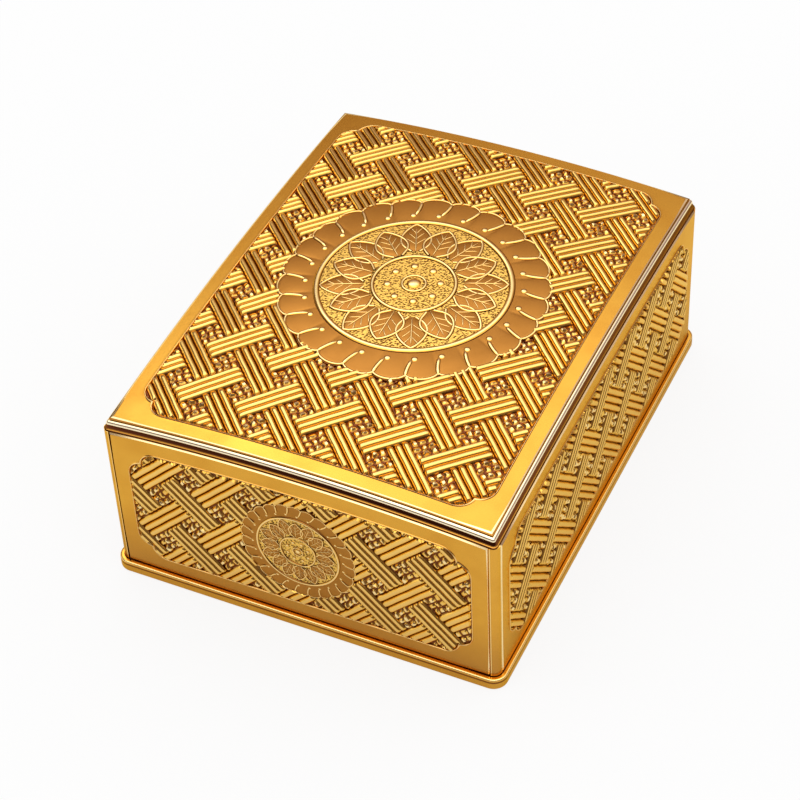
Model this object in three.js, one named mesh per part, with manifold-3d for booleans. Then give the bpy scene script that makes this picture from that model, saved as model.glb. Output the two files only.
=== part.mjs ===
// A gilt scripture box with a lift-off cover, in millimetres, +Z up.
// The origin is the centre of the underside. The front, with the small roundel, faces -Y.
// The cover has a crowned top and reaches down to the plinth. It slides over a lined inner box.
import * as THREE from 'three';
import { mergeVertices } from 'three/addons/utils/BufferGeometryUtils.js';
import Module from 'manifold-3d';

const wasm = await Module();
wasm.setup();

// Overall form of the cover
const boxWidth = 150;
const boxDepth = 194.6;
const shoulderHeight = 69; // the side plates' top edge, at the corners
const crownRiseAcross = 3.7; // how far the front and back edges arch up at mid width
const crownRiseAlong = 3.7; // how far the left and right edges arch up at mid depth
const fitGap = 0.2; // glue line or joint between two pieces

// Metal cladding of the cover
const sidePlateThickness = 1;
const sidePlateChamfer = 0.45;
const cornerRadius = 3.5;
const cornerRecess = 0.2; // the corner strips lie this far behind the plates' faces
const topPlateThickness = 0.8;
const topPlateInset = 2.7;
const topPlateCornerRadius = 1.2;
const rimHeight = 3.4; // from the side plates' top edge to the seat of the top plate
const rimOuterInset = 0.7;
const ledgeHeight = 1.3;
const beadRadius = 1;
const beadInset = 2.75;
const beadRise = 2.35;
const grooveInset = 3.9;

// Pressed fields, with two round lobes at each corner
const fieldRise = 0.45;
const topFieldBorder = 6;
const topLobeRadius = 5.8;
const sideFieldBorder = 6.4;
const sideLobeRadius = 5.4;

// Woven relief on the fields: long floats of three strands, which cross at right angles
const weavePitch = 23.5; // from one float to the next one that runs the same way
const floatRise = 0.9; // above the plate's face
const floatGap = 0.6; // left between a float and its neighbours
const floatRoot = 0.2; // how far a float reaches down into the field
const fieldMargin = 0.5; // the floats stop this far inside the field's outline
const topWeaveOrigin = [13.1, 12.7];
const endWeaveOrigin = [5.5, 45.6];
const sideWeaveOrigin = [8.6, 45.4];

// Roundels
const topRoundelRadius = 50.6;
const topRoundelBackset = 2.5; // towards the back from the middle of the plate
const topRoundelLobes = 24;
const frontRoundelRadius = 22.4;
const frontRoundelLobes = 24;
const roundelRise = 0.3;
const roundelLobeDepthShare = 0.03;
const roundelCentreShare = 0.4; // the stippled disc in the middle, against the roundel
const roundelCentreDepth = 0.25;
const roundelMargin = 0.6; // the floats stop this far outside the roundel
const petalCount = 8;
const petalRise = 0.2;
const petalRootShare = 0.42;
const petalTipShare = 0.63;
const petalWidthShare = 0.24;

// Wooden carcass of the cover
const coverBoardThickness = 4;
const coverTopThickness = 5.2;
const ceilingLiningThickness = 0.8;

// Base
const feltThickness = 0.8;
const feltInset = 8;
const plinthFootLift = 0.2; // the moulding hangs this far above what the felt stands on
const plinthHeight = 5.1;
const plinthProjection = 1.3;
const plinthCornerRadius = 5;
const plinthWidth = 7.5;
const plinthTopRound = 0.7;
const plinthBottomRound = 0.8;
const coverParting = 0.3; // between the plinth's ledge and the cover's lower edge
const runningClearance = 0.6; // between the inner box and the cover, all round

// Inner box and its lining
const innerWallThickness = 3;
const innerWallTop = 62;
const linerThickness = 0.8;
const linerTop = 58;
const padThickness = 3;
const padCornerRadius = 2;

// Facets
const crownCellsAcross = 8;
const crownCellsAlong = 10;
const arcSteps = 5;
const archSteps = 10;
const lobeSteps = 4;

// Derived places
const halfWidth = boxWidth / 2;
const halfDepth = boxDepth / 2;
const coverBottom = plinthHeight + coverParting;
const boardOuterInset = sidePlateThickness + fitGap;
const boardInnerInset = boardOuterInset + coverBoardThickness;
const innerBoxInset = boardInnerInset + runningClearance;
const linerInset = innerBoxInset + innerWallThickness + fitGap;
const padInset = linerInset + linerThickness + fitGap;
const topPlateSeat = rimHeight + fitGap;
const topPlateFace = topPlateSeat + topPlateThickness;
const innerBoxBottom = plinthHeight + fitGap;
const highAbove = 60; // taller than anything that is trimmed to the crown
const floatSpacing = weavePitch / Math.SQRT2; // between crossing floats, measured along them
const floatWidth = floatSpacing / 2 - floatGap;
const floatLength = floatSpacing * 1.5 - floatGap;

const gilt = { color: 0xc98f3a, roughness: 0.35, metalness: 1 };
const polishedGilt = { color: 0xe0ad4c, roughness: 0.18, metalness: 1 };
const lacquer = { color: 0x1b0d08, roughness: 0.25, metalness: 0 };
const cloth = { color: 0x6e1220, roughness: 0.9, metalness: 0 };
const felt = { color: 0x23351f, roughness: 0.95, metalness: 0 };

// How far the crown stands above the corners at a place in plan
function crownAt(x, y) {
  const across = 1 - (x / halfWidth) ** 2;
  const along = 1 - (y / halfDepth) ** 2;
  return crownRiseAcross * across + crownRiseAlong * along;
}

function toManifold(geometry) {
  const bare = geometry.index ? geometry.clone() : geometry;
  bare.deleteAttribute('normal');
  bare.deleteAttribute('uv');
  const merged = mergeVertices(bare, 1e-5);
  return new wasm.Manifold(new wasm.Mesh({
    numProp: 3,
    vertProperties: new Float32Array(merged.attributes.position.array),
    triVerts: new Uint32Array(merged.index.array),
  }));
}

function toGeometry(solid) {
  const mesh = solid.getMesh();
  const geometry = new THREE.BufferGeometry();
  geometry.setAttribute('position', new THREE.BufferAttribute(mesh.vertProperties, 3));
  geometry.setIndex(new THREE.BufferAttribute(mesh.triVerts, 1));
  geometry.computeVertexNormals();
  return geometry;
}

// A closed solid through rings of equal count, from the bottom ring to the top one
function loft(rings) {
  const count = rings[0].length;
  const positions = rings.flat().flatMap((point) => [point.x, point.y, point.z]);
  const index = [];
  for (let level = 0; level < rings.length - 1; level += 1) {
    for (let i = 0; i < count; i += 1) {
      const next = (i + 1) % count;
      const a = level * count + i;
      const b = level * count + next;
      index.push(a, b, b + count, a, b + count, a + count);
    }
  }
  const flat = rings[0].map((point) => new THREE.Vector2(point.x, point.y));
  const top = (rings.length - 1) * count;
  for (const [a, b, c] of THREE.ShapeUtils.triangulateShape(flat, [])) {
    index.push(c, b, a);
    index.push(top + a, top + b, top + c);
  }
  const geometry = new THREE.BufferGeometry();
  geometry.setAttribute('position', new THREE.Float32BufferAttribute(positions, 3));
  geometry.setIndex(index);
  return geometry;
}

function ringAt(outline, z) {
  return outline.map((point) => new THREE.Vector3(point.x, point.y, z));
}

// A rectangle with rounded corners in plan, counter-clockwise, with steps along its sides
function roundedRectangle(halfX, halfY, radius, stepsX = 1, stepsY = 1) {
  const points = [];
  const corners = [[1, -1, -90], [1, 1, 0], [-1, 1, 90], [-1, -1, 180]];
  corners.forEach(([signX, signY, start], corner) => {
    for (let i = 0; i <= arcSteps; i += 1) {
      const angle = THREE.MathUtils.degToRad(start + (90 * i) / arcSteps);
      points.push(new THREE.Vector2(
        signX * (halfX - radius) + radius * Math.cos(angle),
        signY * (halfY - radius) + radius * Math.sin(angle),
      ));
    }
    const steps = corner % 2 === 0 ? stepsY : stepsX;
    const from = points[points.length - 1];
    const [nextX, nextY, nextStart] = corners[(corner + 1) % 4];
    const angle = THREE.MathUtils.degToRad(nextStart);
    const to = new THREE.Vector2(
      nextX * (halfX - radius) + radius * Math.cos(angle),
      nextY * (halfY - radius) + radius * Math.sin(angle),
    );
    for (let i = 1; i < steps; i += 1) {
      points.push(from.clone().lerp(to, i / steps));
    }
  });
  return points;
}

function prism(outline, low, high) {
  return toManifold(loft([ringAt(outline, low), ringAt(outline, high)]));
}

function block(lowX, highX, lowY, highY, lowZ, highZ) {
  const geometry = new THREE.BoxGeometry(highX - lowX, highY - lowY, highZ - lowZ);
  geometry.translate((lowX + highX) / 2, (lowY + highY) / 2, (lowZ + highZ) / 2);
  return toManifold(geometry);
}

// A slab whose two faces both follow the crown, at heights above the shoulder
function crownSlab(lowRise, highRise) {
  const margin = 4;
  const geometry = new THREE.BoxGeometry(
    boxWidth + 2 * margin, boxDepth + 2 * margin, 1, crownCellsAcross, crownCellsAlong, 1,
  );
  const position = geometry.attributes.position;
  for (let i = 0; i < position.count; i += 1) {
    const rise = position.getZ(i) > 0 ? highRise : lowRise;
    const crown = crownAt(position.getX(i), position.getY(i));
    position.setZ(i, shoulderHeight + crown + rise);
  }
  return toManifold(geometry);
}

// An upright piece whose top is trimmed to the crown
function trimmedToCrown(solid, rise) {
  return solid.intersect(crownSlab(-highAbove * 2, rise));
}

// One corner of a pressed field: two quarter-round lobes with a notch between them
function lobedCorner(points, cornerX, cornerY, signX, signY, radius, turned) {
  for (const lobe of turned ? [1, 0] : [0, 1]) {
    // Each lobe starts along the upright side and ends along the level one
    const arc = Array.from({ length: lobeSteps + 1 }, (_, i) => {
      const angle = (Math.PI / 2) * (i / lobeSteps);
      return new THREE.Vector2(
        cornerX - signX * radius * (lobe + 1 - Math.cos(angle)),
        cornerY - signY * radius * (2 - lobe - Math.sin(angle)),
      );
    });
    if (turned) {
      arc.reverse();
    }
    for (const point of arc) {
      const last = points[points.length - 1];
      if (!last || last.distanceTo(point) > 1e-6) {
        points.push(point);
      }
    }
  }
}

// The outline of a pressed field; topAt gives the arch of its top edge above a flat one
function fieldOutline(halfX, low, high, radius, topAt = () => 0, inset = 0) {
  const points = [];
  const x = halfX - inset;
  const bottom = low + inset;
  const top = high - inset;
  const lobe = radius - inset / 2;
  lobedCorner(points, x, bottom, 1, -1, lobe, true);
  lobedCorner(points, x, top, 1, 1, lobe, false);
  const from = points[points.length - 1].x;
  for (let i = 1; i < archSteps; i += 1) {
    points.push(new THREE.Vector2(from - (2 * from * i) / archSteps, top));
  }
  lobedCorner(points, -x, top, -1, 1, lobe, true);
  lobedCorner(points, -x, bottom, -1, -1, lobe, false);
  return points.map((point) => (
    point.y > (bottom + top) / 2
      ? new THREE.Vector2(point.x, point.y + topAt(point.x))
      : point
  ));
}

function roundelOutline(radius, lobes, centreX = 0, centreY = 0) {
  const points = [];
  const steps = lobes * 3;
  for (let i = 0; i < steps; i += 1) {
    const angle = (2 * Math.PI * i) / steps;
    const scallop = i % 3 === 0 ? 1 - roundelLobeDepthShare : 1;
    points.push(new THREE.Vector2(
      centreX + radius * scallop * Math.cos(angle),
      centreY + radius * scallop * Math.sin(angle),
    ));
  }
  return points;
}

function circleOutline(radius, centreX = 0, centreY = 0) {
  const steps = 32;
  return Array.from({ length: steps }, (_, i) => {
    const angle = (2 * Math.PI * i) / steps;
    return new THREE.Vector2(
      centreX + radius * Math.cos(angle),
      centreY + radius * Math.sin(angle),
    );
  });
}

// Raised floats over a plate: slabs on a diagonal lattice, each lifted to the surface below it
function weaveFloats(reachX, lowY, highY, origin, face, surfaceAt) {
  const bars = [];
  const across = Math.ceil((2 * reachX) / weavePitch) + 1;
  const up = Math.ceil((highY - lowY) / weavePitch) + 1;
  for (let i = -across; i <= across; i += 1) {
    for (let j = -up; j <= up; j += 1) {
      for (const [shift, turn] of [[0, -1], [0.5, 1]]) {
        const x = origin[0] + (i + shift) * weavePitch;
        const y = origin[1] + (j + shift) * weavePitch;
        const reach = weavePitch / 3;
        if (Math.abs(x) < reachX + reach && y > lowY - reach && y < highY + reach) {
          const low = face + fieldRise - floatRoot;
          const slab = new THREE.BoxGeometry(floatLength, floatWidth, face + floatRise - low);
          slab.rotateZ((turn * Math.PI) / 4);
          slab.translate(x, y, (low + face + floatRise) / 2);
          bars.push(toManifold(lifted(slab, surfaceAt)));
        }
      }
    }
  }
  return bars.reduce((all, bar) => all.add(bar));
}

function lifted(geometry, surfaceAt) {
  const position = geometry.attributes.position;
  for (let i = 0; i < position.count; i += 1) {
    position.setZ(i, position.getZ(i) + surfaceAt(position.getX(i), position.getY(i)));
  }
  return geometry;
}

// Pointed petals round a roundel's sunk centre
function roundelPetals(radius, centreX, centreY, low, high, surfaceAt) {
  const petals = [];
  for (let i = 0; i < petalCount; i += 1) {
    const shape = [[petalRootShare, 0], [0.5, -petalWidthShare / 2], [petalTipShare, 0],
      [0.5, petalWidthShare / 2]];
    const angle = (2 * Math.PI * (i + 0.5)) / petalCount;
    const outline = shape.map(([out, aside]) => new THREE.Vector2(
      centreX + radius * (out * Math.cos(angle) - aside * Math.sin(angle)),
      centreY + radius * (out * Math.sin(angle) + aside * Math.cos(angle)),
    ));
    const slab = loft([ringAt(outline, low), ringAt(outline, high)]);
    petals.push(toManifold(lifted(slab, surfaceAt)));
  }
  return petals.reduce((all, petal) => all.add(petal));
}

// The crowned top plate with its lobed field, woven floats and roundel
function topPlate() {
  const halfX = halfWidth - topPlateInset;
  const halfY = halfDepth - topPlateInset;
  const low = shoulderHeight;
  const high = shoulderHeight + highAbove;
  const outline = roundedRectangle(halfX, halfY, topPlateCornerRadius);
  const reachX = halfX - topFieldBorder;
  const reachY = halfY - topFieldBorder;
  const field = fieldOutline(reachX, -reachY, reachY, topLobeRadius);
  const keep = fieldOutline(reachX, -reachY, reachY, topLobeRadius, undefined, fieldMargin);
  const back = topRoundelBackset;
  const roundel = roundelOutline(topRoundelRadius, topRoundelLobes, 0, back);
  const centre = circleOutline(topRoundelRadius * roundelCentreShare, 0, back);
  const face = topPlateFace;
  const plate = crownSlab(topPlateSeat, face).intersect(prism(outline, low, high));
  const raised = crownSlab(topPlateSeat, face + fieldRise).intersect(prism(field, low, high));
  const roundelTop = face + fieldRise + roundelRise;
  const disc = crownSlab(topPlateSeat, roundelTop).intersect(prism(roundel, low, high));
  const sunk = crownSlab(roundelTop - roundelCentreDepth, roundelTop + 1)
    .intersect(prism(centre, low, high));
  const surfaceAt = (x, y) => shoulderHeight + crownAt(x, y);
  const clear = circleOutline(topRoundelRadius + roundelMargin, 0, back);
  const floats = weaveFloats(reachX, -reachY, reachY, topWeaveOrigin, face, surfaceAt)
    .intersect(prism(keep, low, high)).subtract(prism(clear, low, high));
  const petals = roundelPetals(
    topRoundelRadius, 0, back, roundelTop - petalRise, roundelTop + petalRise, surfaceAt,
  );
  return toGeometry(plate.add(raised).add(disc).subtract(sunk).add(petals).add(floats));
}

// A side plate lying flat: x along the wall, y up it, z out of it; turned upright afterwards
function sidePlate(halfLength, halfSpan, crownRiseHere, origin, roundelRadius = 0) {
  const archAt = (x) => crownRiseHere * (1 - (x / halfSpan) ** 2);
  const outlineAt = (inset) => {
    const x = halfLength - inset;
    const points = [new THREE.Vector2(-x, coverBottom + inset), new THREE.Vector2(x, coverBottom + inset)];
    for (let i = 0; i <= archSteps; i += 1) {
      const along = x - (2 * x * i) / archSteps;
      points.push(new THREE.Vector2(along, shoulderHeight - inset + archAt(along)));
    }
    return points;
  };
  const face = sidePlateThickness;
  const plate = toManifold(loft([
    ringAt(outlineAt(0), 0),
    ringAt(outlineAt(0), face - sidePlateChamfer),
    ringAt(outlineAt(sidePlateChamfer), face),
  ]));
  const reach = halfLength - sideFieldBorder;
  const low = coverBottom + sideFieldBorder;
  const high = shoulderHeight - sideFieldBorder;
  const field = fieldOutline(reach, low, high, sideLobeRadius, archAt);
  const keep = fieldOutline(reach, low, high, sideLobeRadius, archAt, fieldMargin);
  let floats = weaveFloats(reach, low, high + crownRiseHere, origin, face, () => 0)
    .intersect(prism(keep, 0, face + highAbove));
  let solid = plate.add(prism(field, face / 2, face + fieldRise));
  if (roundelRadius > 0) {
    const middle = (coverBottom + shoulderHeight + crownRiseHere) / 2;
    const top = face + fieldRise + roundelRise;
    const roundel = roundelOutline(roundelRadius, frontRoundelLobes, 0, middle);
    const centre = circleOutline(roundelRadius * roundelCentreShare, 0, middle);
    const clear = circleOutline(roundelRadius + roundelMargin, 0, middle);
    floats = floats.subtract(prism(clear, 0, face + highAbove));
    solid = solid.add(prism(roundel, face / 2, top));
    solid = solid.subtract(prism(centre, top - roundelCentreDepth, top + 1));
    solid = solid.add(
      roundelPetals(roundelRadius, 0, middle, top - petalRise, top + petalRise, () => 0),
    );
  }
  return toGeometry(solid.add(floats));
}

// Turns a plate that was drawn flat so that it stands on its wall, facing outward
function standUp(geometry, side) {
  geometry.rotateX(Math.PI / 2);
  const quarterTurns = { front: 0, right: 1, back: 2, left: 3 }[side];
  geometry.rotateZ((Math.PI / 2) * quarterTurns);
  const reach = (quarterTurns % 2 === 0 ? halfDepth : halfWidth) - sidePlateThickness;
  const angle = -Math.PI / 2 + (Math.PI / 2) * quarterTurns;
  geometry.translate(reach * Math.round(Math.cos(angle)), reach * Math.round(Math.sin(angle)), 0);
  return geometry;
}

// A moulding swept round the box; each section point is an inset from the outer face and a
// height, and the whole follows the crown where crowned is true
function sweptRing(section, radius, crowned, baseHeight, stepsX, stepsY) {
  const rings = section.map(([inset, height]) => {
    const outline = roundedRectangle(
      halfWidth - inset, halfDepth - inset, Math.max(radius - inset, 0.3), stepsX, stepsY,
    );
    return outline.map((point) => new THREE.Vector3(
      point.x, point.y, baseHeight + height + (crowned ? crownAt(point.x, point.y) : 0),
    ));
  });
  const count = rings[0].length;
  const positions = rings.flat().flatMap((point) => [point.x, point.y, point.z]);
  const index = [];
  for (let level = 0; level < rings.length; level += 1) {
    const above = (level + 1) % rings.length;
    for (let i = 0; i < count; i += 1) {
      const next = (i + 1) % count;
      const a = level * count + i;
      const b = level * count + next;
      const c = above * count + next;
      const d = above * count + i;
      index.push(a, b, c, a, c, d);
    }
  }
  const geometry = new THREE.BufferGeometry();
  geometry.setAttribute('position', new THREE.Float32BufferAttribute(positions, 3));
  geometry.setIndex(index);
  geometry.computeVertexNormals();
  return geometry;
}

// The beaded rim: a flat shoulder, a round bead set back on it, then the plate's seat
function rimMoulding() {
  const section = [
    [boardInnerInset, fitGap],
    [rimOuterInset, fitGap],
    [rimOuterInset, ledgeHeight],
  ];
  const beadSteps = 7;
  const start = -75;
  const sweep = 225;
  for (let i = 0; i <= beadSteps; i += 1) {
    const angle = THREE.MathUtils.degToRad(start + (sweep * i) / beadSteps);
    section.push([
      beadInset - beadRadius * Math.cos(angle), beadRise + beadRadius * Math.sin(angle),
    ]);
  }
  section.push([grooveInset, rimHeight]);
  section.push([boardInnerInset, rimHeight]);
  return sweptRing(section, cornerRadius, true, shoulderHeight, archSteps, archSteps);
}

// The plinth: a flat band with eased edges, whose level top carries the cover
function plinthMoulding() {
  const out = -plinthProjection;
  const section = [
    [plinthWidth - plinthProjection, plinthFootLift],
    [out + plinthBottomRound, plinthFootLift],
    [out + plinthBottomRound * 0.3, plinthFootLift + plinthBottomRound * 0.3],
    [out, plinthFootLift + plinthBottomRound],
    [out, plinthHeight - plinthTopRound],
    [out + plinthTopRound * 0.3, plinthHeight - plinthTopRound * 0.3],
    [out + plinthTopRound, plinthHeight],
    [plinthWidth - plinthProjection, plinthHeight],
  ];
  return sweptRing(section, plinthCornerRadius - plinthProjection, false, 0, 1, 1);
}

// A corner strip: a quarter round that shows between two side plates, with a tongue behind
function cornerStrip(signX, signY) {
  const inner = cornerRadius - fitGap;
  const reach = cornerRadius - cornerRecess;
  const tongue = boardInnerInset - cornerRadius;
  const back = sidePlateThickness + fitGap;
  const local = [
    new THREE.Vector2(fitGap, -tongue),
    new THREE.Vector2(cornerRadius - back, -tongue),
    new THREE.Vector2(cornerRadius - back, fitGap),
  ];
  for (let i = 0; i <= arcSteps; i += 1) {
    const first = Math.asin(fitGap / reach);
    const angle = first + (Math.PI / 2 - 2 * first) * (i / arcSteps);
    local.push(new THREE.Vector2(reach * Math.cos(angle), reach * Math.sin(angle)));
  }
  local.push(new THREE.Vector2(fitGap, inner - back + fitGap));
  const outline = local.map((point) => new THREE.Vector2(
    signX * (halfWidth - cornerRadius + point.x),
    signY * (halfDepth - cornerRadius + point.y),
  ));
  if (signX * signY < 0) {
    outline.reverse();
  }
  const bar = prism(outline, coverBottom, shoulderHeight + highAbove);
  return toGeometry(trimmedToCrown(bar, 0));
}

function coverBoards() {
  const outX = halfWidth - boardOuterInset;
  const outY = halfDepth - boardOuterInset;
  const inX = halfWidth - boardInnerInset;
  const inY = halfDepth - boardInnerInset;
  const endX = halfWidth - cornerRadius;
  const endY = inY - fitGap;
  const high = shoulderHeight + highAbove;
  const board = (a, b, c, d) => (
    toGeometry(trimmedToCrown(block(a, b, c, d, coverBottom, high), 0))
  );
  const top = crownSlab(rimHeight - coverTopThickness, rimHeight)
    .intersect(block(-inX + fitGap, inX - fitGap, -endY, endY, 0, high));
  const lining = crownSlab(
    rimHeight - coverTopThickness - fitGap - ceilingLiningThickness,
    rimHeight - coverTopThickness - fitGap,
  ).intersect(block(-inX + fitGap, inX - fitGap, -endY, endY, 0, high));
  return {
    cover_top_board: toGeometry(top),
    cover_front_board: board(-endX, endX, -outY, -inY),
    cover_back_board: board(-endX, endX, inY, outY),
    cover_left_board: board(-outX, -inX, -endY, endY),
    cover_right_board: board(inX, outX, -endY, endY),
    cover_ceiling_lining: toGeometry(lining),
  };
}

// Four upright boards of a rectangular frame; the front and back ones run the full width
function frameBoards(inset, thickness, low, high) {
  const outX = halfWidth - inset;
  const outY = halfDepth - inset;
  const inX = outX - thickness;
  const inY = outY - thickness;
  const endY = inY - fitGap;
  const board = (a, b, c, d) => toGeometry(block(a, b, c, d, low, high));
  return {
    front: board(-outX, outX, -outY, -inY),
    back: board(-outX, outX, inY, outY),
    left: board(-outX, -inX, -endY, endY),
    right: board(inX, outX, -endY, endY),
  };
}

const model = new THREE.Group();

function place(name, geometry, finish) {
  const mesh = new THREE.Mesh(geometry, new THREE.MeshStandardMaterial(finish));
  mesh.name = name;
  model.add(mesh);
}

// The cover's metalwork
place('top_plate', topPlate(), gilt);
place('rim_moulding', rimMoulding(), polishedGilt);
const plateHalfX = halfWidth - cornerRadius;
const plateHalfY = halfDepth - cornerRadius;
for (const side of ['front', 'back']) {
  const radius = side === 'front' ? frontRoundelRadius : 0;
  const plate = sidePlate(plateHalfX, halfWidth, crownRiseAcross, endWeaveOrigin, radius);
  place(`${side}_plate`, standUp(plate, side), gilt);
}
for (const side of ['left', 'right']) {
  const plate = sidePlate(plateHalfY, halfDepth, crownRiseAlong, sideWeaveOrigin);
  place(`${side}_plate`, standUp(plate, side), gilt);
}
for (const [along, signY] of [['front', -1], ['back', 1]]) {
  for (const [across, signX] of [['left', -1], ['right', 1]]) {
    place(`corner_strip_${along}_${across}`, cornerStrip(signX, signY), polishedGilt);
  }
}

// The cover's carcass
for (const [name, geometry] of Object.entries(coverBoards())) {
  place(name, geometry, name === 'cover_ceiling_lining' ? cloth : lacquer);
}

// The base
place('plinth_moulding', plinthMoulding(), polishedGilt);
const baseInset = plinthWidth - plinthProjection + fitGap;
place('base_board', toGeometry(block(
  -halfWidth + baseInset, halfWidth - baseInset, -halfDepth + baseInset, halfDepth - baseInset,
  feltThickness + fitGap, plinthHeight,
)), lacquer);
place('base_felt', toGeometry(prism(
  roundedRectangle(halfWidth - feltInset, halfDepth - feltInset, padCornerRadius),
  0, feltThickness,
)), felt);
const innerWalls = frameBoards(innerBoxInset, innerWallThickness, innerBoxBottom, innerWallTop);
for (const [side, geometry] of Object.entries(innerWalls)) {
  place(`inner_${side}_wall`, geometry, lacquer);
}
const liners = frameBoards(linerInset, linerThickness, innerBoxBottom, linerTop);
for (const [side, geometry] of Object.entries(liners)) {
  place(`liner_${side}`, geometry, cloth);
}
place('floor_pad', toGeometry(prism(
  roundedRectangle(halfWidth - padInset, halfDepth - padInset, padCornerRadius),
  innerBoxBottom, innerBoxBottom + padThickness,
)), cloth);

export default model;
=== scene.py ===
# %% [markdown]
# # A gilt scripture box with a lift-off cover
#
# The box is a lacquered wooden carcass clad in gilt metal. Its cover has a crowned top and pressed
# panels with a woven pattern and a lotus rosette, and comes down over a lined inner box. The
# engineering model gives every size. This script adds the finishes, and the relief that is too
# fine for it. The helpers work in millimetres and Blender in metres.

# %% Load the frame
import math

import bpy
import numpy as np
from mathutils import Matrix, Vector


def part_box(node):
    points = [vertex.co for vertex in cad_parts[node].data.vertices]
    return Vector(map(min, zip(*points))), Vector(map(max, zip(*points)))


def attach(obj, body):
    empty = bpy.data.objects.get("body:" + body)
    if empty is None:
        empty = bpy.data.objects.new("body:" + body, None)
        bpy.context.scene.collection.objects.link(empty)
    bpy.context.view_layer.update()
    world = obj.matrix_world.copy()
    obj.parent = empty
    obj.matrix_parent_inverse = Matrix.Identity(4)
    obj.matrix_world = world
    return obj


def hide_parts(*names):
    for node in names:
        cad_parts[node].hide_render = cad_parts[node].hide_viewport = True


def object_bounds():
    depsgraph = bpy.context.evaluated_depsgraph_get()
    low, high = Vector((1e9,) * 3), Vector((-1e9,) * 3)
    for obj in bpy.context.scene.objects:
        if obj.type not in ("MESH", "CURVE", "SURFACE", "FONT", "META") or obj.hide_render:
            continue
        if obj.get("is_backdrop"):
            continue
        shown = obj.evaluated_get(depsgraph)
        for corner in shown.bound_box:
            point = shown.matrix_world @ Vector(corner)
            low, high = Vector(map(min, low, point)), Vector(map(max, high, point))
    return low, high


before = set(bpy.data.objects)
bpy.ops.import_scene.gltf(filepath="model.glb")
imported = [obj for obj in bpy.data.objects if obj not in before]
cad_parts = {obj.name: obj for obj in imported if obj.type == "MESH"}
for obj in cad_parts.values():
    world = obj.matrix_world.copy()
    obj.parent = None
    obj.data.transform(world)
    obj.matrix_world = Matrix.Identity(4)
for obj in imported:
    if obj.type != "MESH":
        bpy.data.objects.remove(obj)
cad_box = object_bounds()
print("frame", [round(float(v), 4) for corner in cad_box for v in corner])

# %% [markdown]
# ## Sizes
#
# These repeat the engineering model's sizes. The cover is crowned both ways: two parabolas lift
# every level line of its top.

# %% Sizes of the box
HALF_WIDTH, HALF_DEPTH = 75.0, 97.3
SHOULDER = 69.0  # the walls' upper edge at the corners
CROWN_ACROSS = CROWN_ALONG = 3.7
COVER_BOTTOM = 5.4
CORNER_RADIUS = 3.5
GAP = 0.2  # glue and fit
TOP_INSET, TOP_SEAT, TOP_FACE = 2.7, 3.6, 4.4  # the top plate's edge, underside and face
TOP_BORDER, TOP_LOBE = 6.0, 5.8
SIDE_BORDER, SIDE_LOBE = 6.4, 5.4
ROUNDEL, ROUNDEL_BACKSET, SMALL_ROUNDEL = 50.6, 2.5, 22.4
FRONT_MIDDLE = (COVER_BOTTOM + SHOULDER + CROWN_ACROSS) / 2


def crown(x, y):
    """Height of the crown above the corners."""
    return CROWN_ACROSS * (1 - (x / HALF_WIDTH) ** 2) + CROWN_ALONG * (1 - (y / HALF_DEPTH) ** 2)


print("crown at the middle", crown(0, 0))

# %% [markdown]
# ## Where each pattern lies
#
# Each plate is drawn flat, with s to the viewer's right, t upward and h out of it. A small function
# then carries the drawing to its wall, or bends it over the crown.

# %% Placing a flat drawing on the box


def on_top(s, t, h):
    return s, t, SHOULDER + crown(s, t) + TOP_FACE + h


def on_front(s, t, h):
    return s, -HALF_DEPTH - h, t


def on_back(s, t, h):
    return -s, HALF_DEPTH + h, t


def on_right(s, t, h):
    return HALF_WIDTH + h, s, t


def on_left(s, t, h):
    return -HALF_WIDTH - h, -s, t


print("the top's middle", on_top(0, 0, 0))

# %% [markdown]
# ## Shader helpers
#
# A finish is easier to read as arithmetic than as a list of node links, so a small class wraps a
# socket and gives it the usual operators.

# %% A socket with operators


class Value:
    """An output socket that can be added, subtracted and multiplied."""

    def __init__(self, tree, socket):
        self.tree, self.socket = tree, socket

    def _math(self, operation, other):
        node = self.tree.nodes.new("ShaderNodeMath")
        node.operation = operation
        connect(self.tree, node.inputs[0], self)
        connect(self.tree, node.inputs[1], other)
        return Value(self.tree, node.outputs[0])

    def __add__(self, other):
        return self._math("ADD", other)

    def __sub__(self, other):
        return self._math("SUBTRACT", other)

    def __mul__(self, other):
        return self._math("MULTIPLY", other)

    def __rsub__(self, other):
        return (self * -1) + other

    __radd__ = __add__
    __rmul__ = __mul__


def connect(tree, slot, item):
    """Link a value to a socket, or set a number or a colour on it."""
    if isinstance(item, Value):
        tree.links.new(slot, item.socket)
    elif isinstance(item, tuple) and len(item) == 3 and slot.type == "RGBA":
        slot.default_value = (*item, 1.0)
    else:
        slot.default_value = item


print("operators", len(vars(Value)))

# %% [markdown]
# One class makes the nodes of any tree, a material's or the world's. A second one adds what only a
# material has: its shader.

# %% Nodes and finishes
MIX_INPUTS, MIX_OUTPUT = (0, 6, 7), 2  # the Mix node's sockets when it mixes colours


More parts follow.
